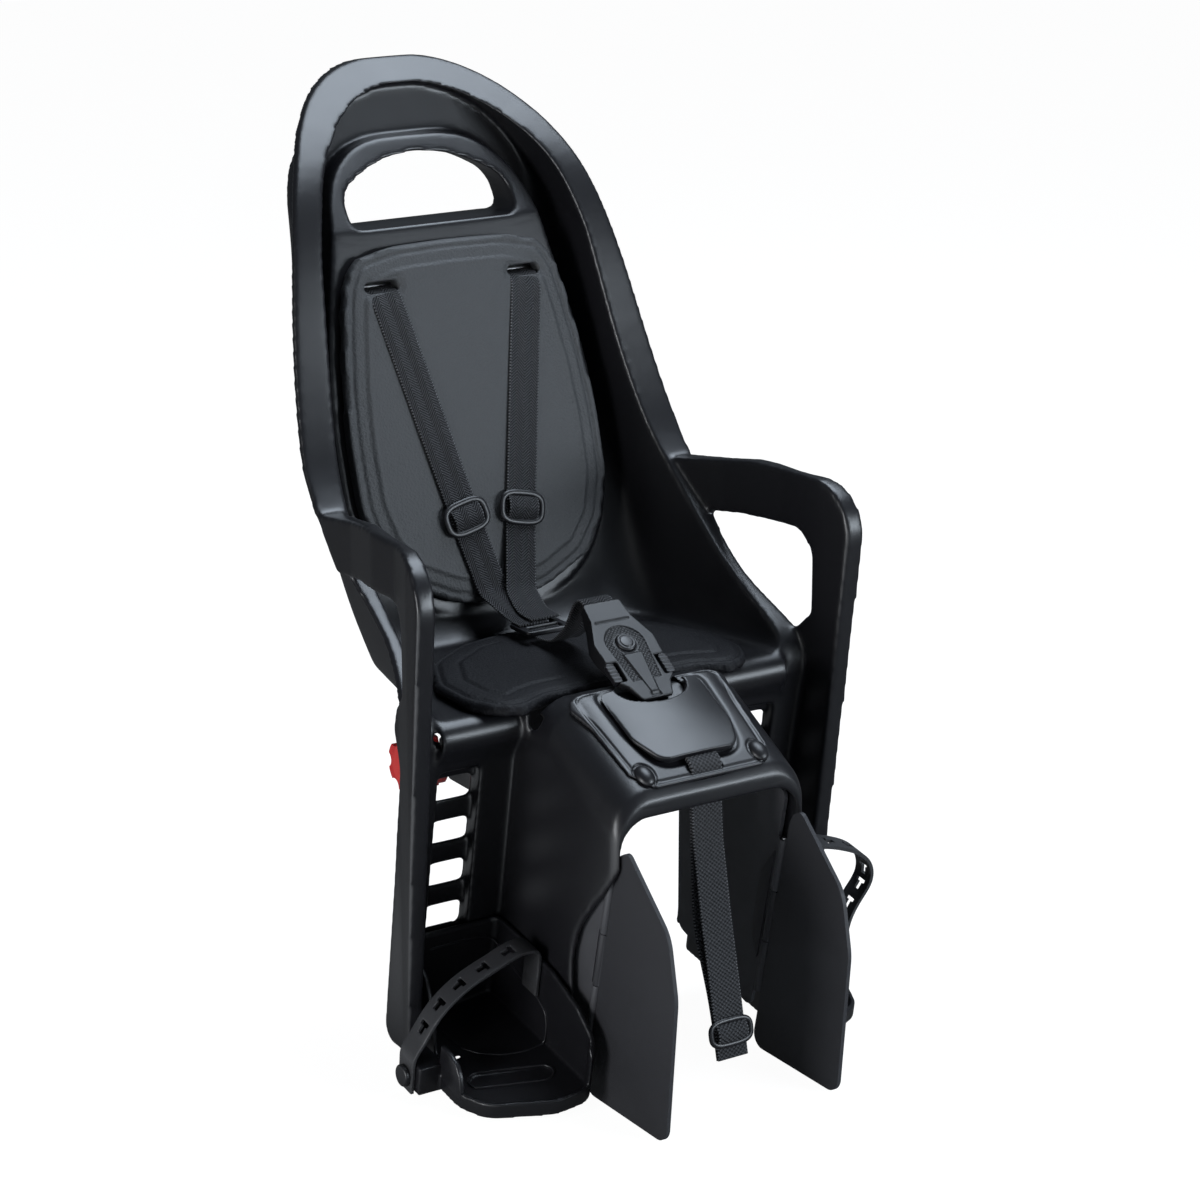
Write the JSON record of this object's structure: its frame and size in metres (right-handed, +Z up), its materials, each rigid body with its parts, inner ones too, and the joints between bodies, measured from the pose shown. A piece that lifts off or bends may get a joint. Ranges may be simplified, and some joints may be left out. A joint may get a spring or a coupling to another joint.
{
  "type": "child bike seat",
  "caption": "Rear carrier child bike seat: moulded bucket shell with arm loops, leg wells, foam pads, shoulder harness with buckle, sliding footrests and a screw clamp for the carrier tubes",
  "frame": {"origin": "midway between the axes of the two carrier tubes that the clamp grips", "axes": "+Z up, +Y to the back of the seat, +X to the child's left; the child looks along -Y"},
  "size_m": [0.3939, 0.5068, 0.674],
  "materials": {
    "shell_plastic": "satin black moulded polypropylene",
    "foam": "fine-grained black foam pad",
    "webbing": "black woven polyester webbing",
    "gloss_plastic": "black moulded plastic with a soft gloss",
    "dark_plastic": "matte dark grey plastic sheet",
    "soft_rubber": "black rubber",
    "red_plastic": "red moulded plastic",
    "black_metal": "black powder coat",
    "steel": "zinc plated steel"
  },
  "bodies": {
    "seat": {"seat_shell": "shell_plastic", "back_pad": "foam", "seat_pad": "foam", "shoulder_strap_left": "webbing", "shoulder_strap_right": "webbing", "buckle_strap": "webbing", "safety_strap": "webbing", "strap_adjuster_left": "gloss_plastic", "strap_adjuster_right": "gloss_plastic", "yoke_slider": "gloss_plastic", "safety_strap_slider": "gloss_plastic", "strap_bars": "steel", "buckle_body": "gloss_plastic", "crotch_post": "gloss_plastic", "pommel_cover": "gloss_plastic", "pommel_lid": "gloss_plastic", "cover_caps": "gloss_plastic", "guard_panel_left": "dark_plastic", "guard_panel_right": "dark_plastic", "guard_pin_left": "steel", "guard_pin_right": "steel", "clamp_body": "black_metal", "clamp_bolts": "steel"},
    "footrest_left": {"footrest_left": "shell_plastic", "foot_strap_left": "soft_rubber", "foot_strap_button_left": "gloss_plastic"},
    "footrest_right": {"footrest_right": "shell_plastic", "foot_strap_right": "soft_rubber", "foot_strap_button_right": "gloss_plastic"},
    "guard_flap_left": {"guard_flap_left": "dark_plastic"},
    "guard_flap_right": {"guard_flap_right": "dark_plastic"},
    "buckle_button": {"buckle_button": "gloss_plastic"},
    "buckle_latch_left": {"buckle_latch_left": "gloss_plastic"},
    "buckle_latch_right": {"buckle_latch_right": "gloss_plastic"},
    "clamp_screw": {"clamp_screw": "steel", "clamp_knob": "red_plastic"},
    "clamp_jaw_left": {"clamp_jaw_left": "black_metal"},
    "clamp_jaw_right": {"clamp_jaw_right": "black_metal"}
  },
  "joints": [
    {"name": "footrest_left_height", "type": "slide", "parent": "seat", "child": "footrest_left", "axis": [0, -0.1702, 0.9854], "range_m": [0, 0.1029]},
    {"name": "guard_flap_left_hinge", "type": "hinge", "parent": "seat", "child": "guard_flap_left", "pos_m": [0.072, -0.193, -0.017], "axis": [0, 0.2186, -0.9758], "range_deg": [0, 30]},
    {"name": "buckle_latch_left_press", "type": "slide", "parent": "seat", "child": "buckle_latch_left", "axis": [-1, 0, 0], "range_m": [0, 0.0025], "stiffness_N_per_m": 1500},
    {"name": "footrest_right_height", "type": "slide", "parent": "seat", "child": "footrest_right", "axis": [0, -0.1702, 0.9854], "range_m": [0, 0.1029]},
    {"name": "guard_flap_right_hinge", "type": "hinge", "parent": "seat", "child": "guard_flap_right", "pos_m": [-0.072, -0.193, -0.017], "axis": [0, -0.2186, 0.9758], "range_deg": [0, 30]},
    {"name": "buckle_latch_right_press", "type": "slide", "parent": "seat", "child": "buckle_latch_right", "axis": [1, 0, 0], "range_m": [0, 0.0025], "stiffness_N_per_m": 1500},
    {"name": "buckle_button_press", "type": "slide", "parent": "seat", "child": "buckle_button", "axis": [0, 0.5563, -0.831], "range_m": [0, 0.003], "stiffness_N_per_m": 1000},
    {"name": "clamp_jaw_left_slide", "type": "slide", "parent": "seat", "child": "clamp_jaw_left", "axis": [1, 0, 0], "range_m": [-0.01, 0.01]},
    {"name": "clamp_jaw_right_slide", "type": "slide", "parent": "seat", "child": "clamp_jaw_right", "axis": [-1, 0, 0], "range_m": [-0.0101, 0.0101]},
    {"name": "clamp_screw_turn", "type": "hinge", "parent": "seat", "child": "clamp_screw", "pos_m": [0, 0, 0.017], "axis": [1, 0, 0], "range_deg": [-1205, 1205]}
  ],
  "couplings": [
    {"joint": "clamp_jaw_right_slide", "follows": "clamp_jaw_left_slide", "ratio": 1},
    {"joint": "clamp_screw_turn", "follows": "clamp_jaw_left_slide", "rad_per_m": 2094.4}
  ]
}
